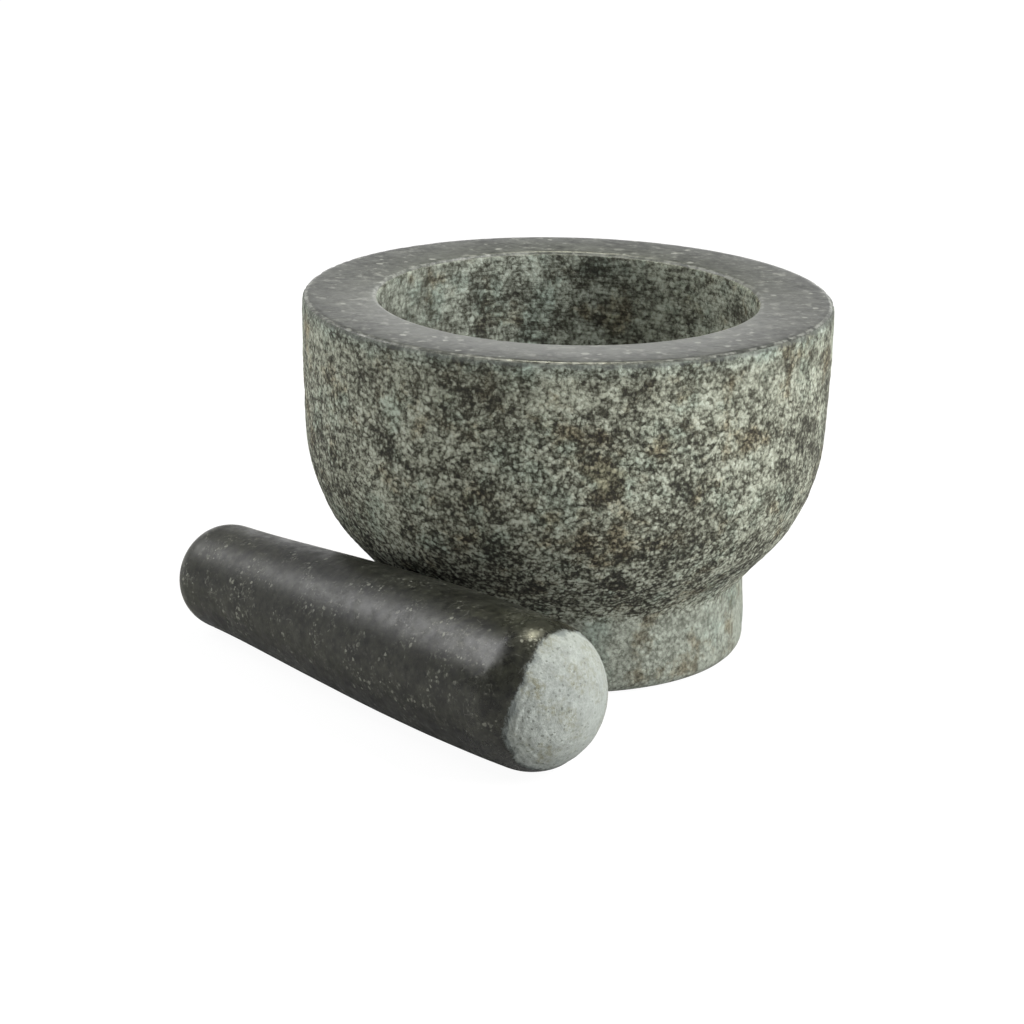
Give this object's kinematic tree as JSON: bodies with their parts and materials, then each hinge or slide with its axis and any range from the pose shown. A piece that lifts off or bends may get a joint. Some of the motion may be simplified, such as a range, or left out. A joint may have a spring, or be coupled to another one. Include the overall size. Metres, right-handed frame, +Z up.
{
  "type": "mortar and pestle",
  "caption": "Footed granite mortar with a wide flat rim and a round hollow for crushing food, and a tapered granite pestle with a domed working end that lies beside it.",
  "frame": {"origin": "centre of the mortar foot's flat underside, on the surface it stands on", "axes": "+Z up along the mortar's axis; the front, where the pestle lies, faces -Y; the pestle's working end points towards +X and -Y"},
  "size_m": [0.1971, 0.2174, 0.108],
  "materials": {
    "granite_rough": "matte",
    "granite_polished": "satin"
  },
  "bodies": {
    "mortar": {"mortar": "granite_rough"},
    "pestle": {"pestle": "granite_polished"}
  },
  "joints": [
    {"name": "pestle_lift", "type": "slide", "parent": "mortar", "child": "pestle", "axis": [-0.6164, -0.5099, 0.6], "range_m": [0, 0.15]}
  ]
}
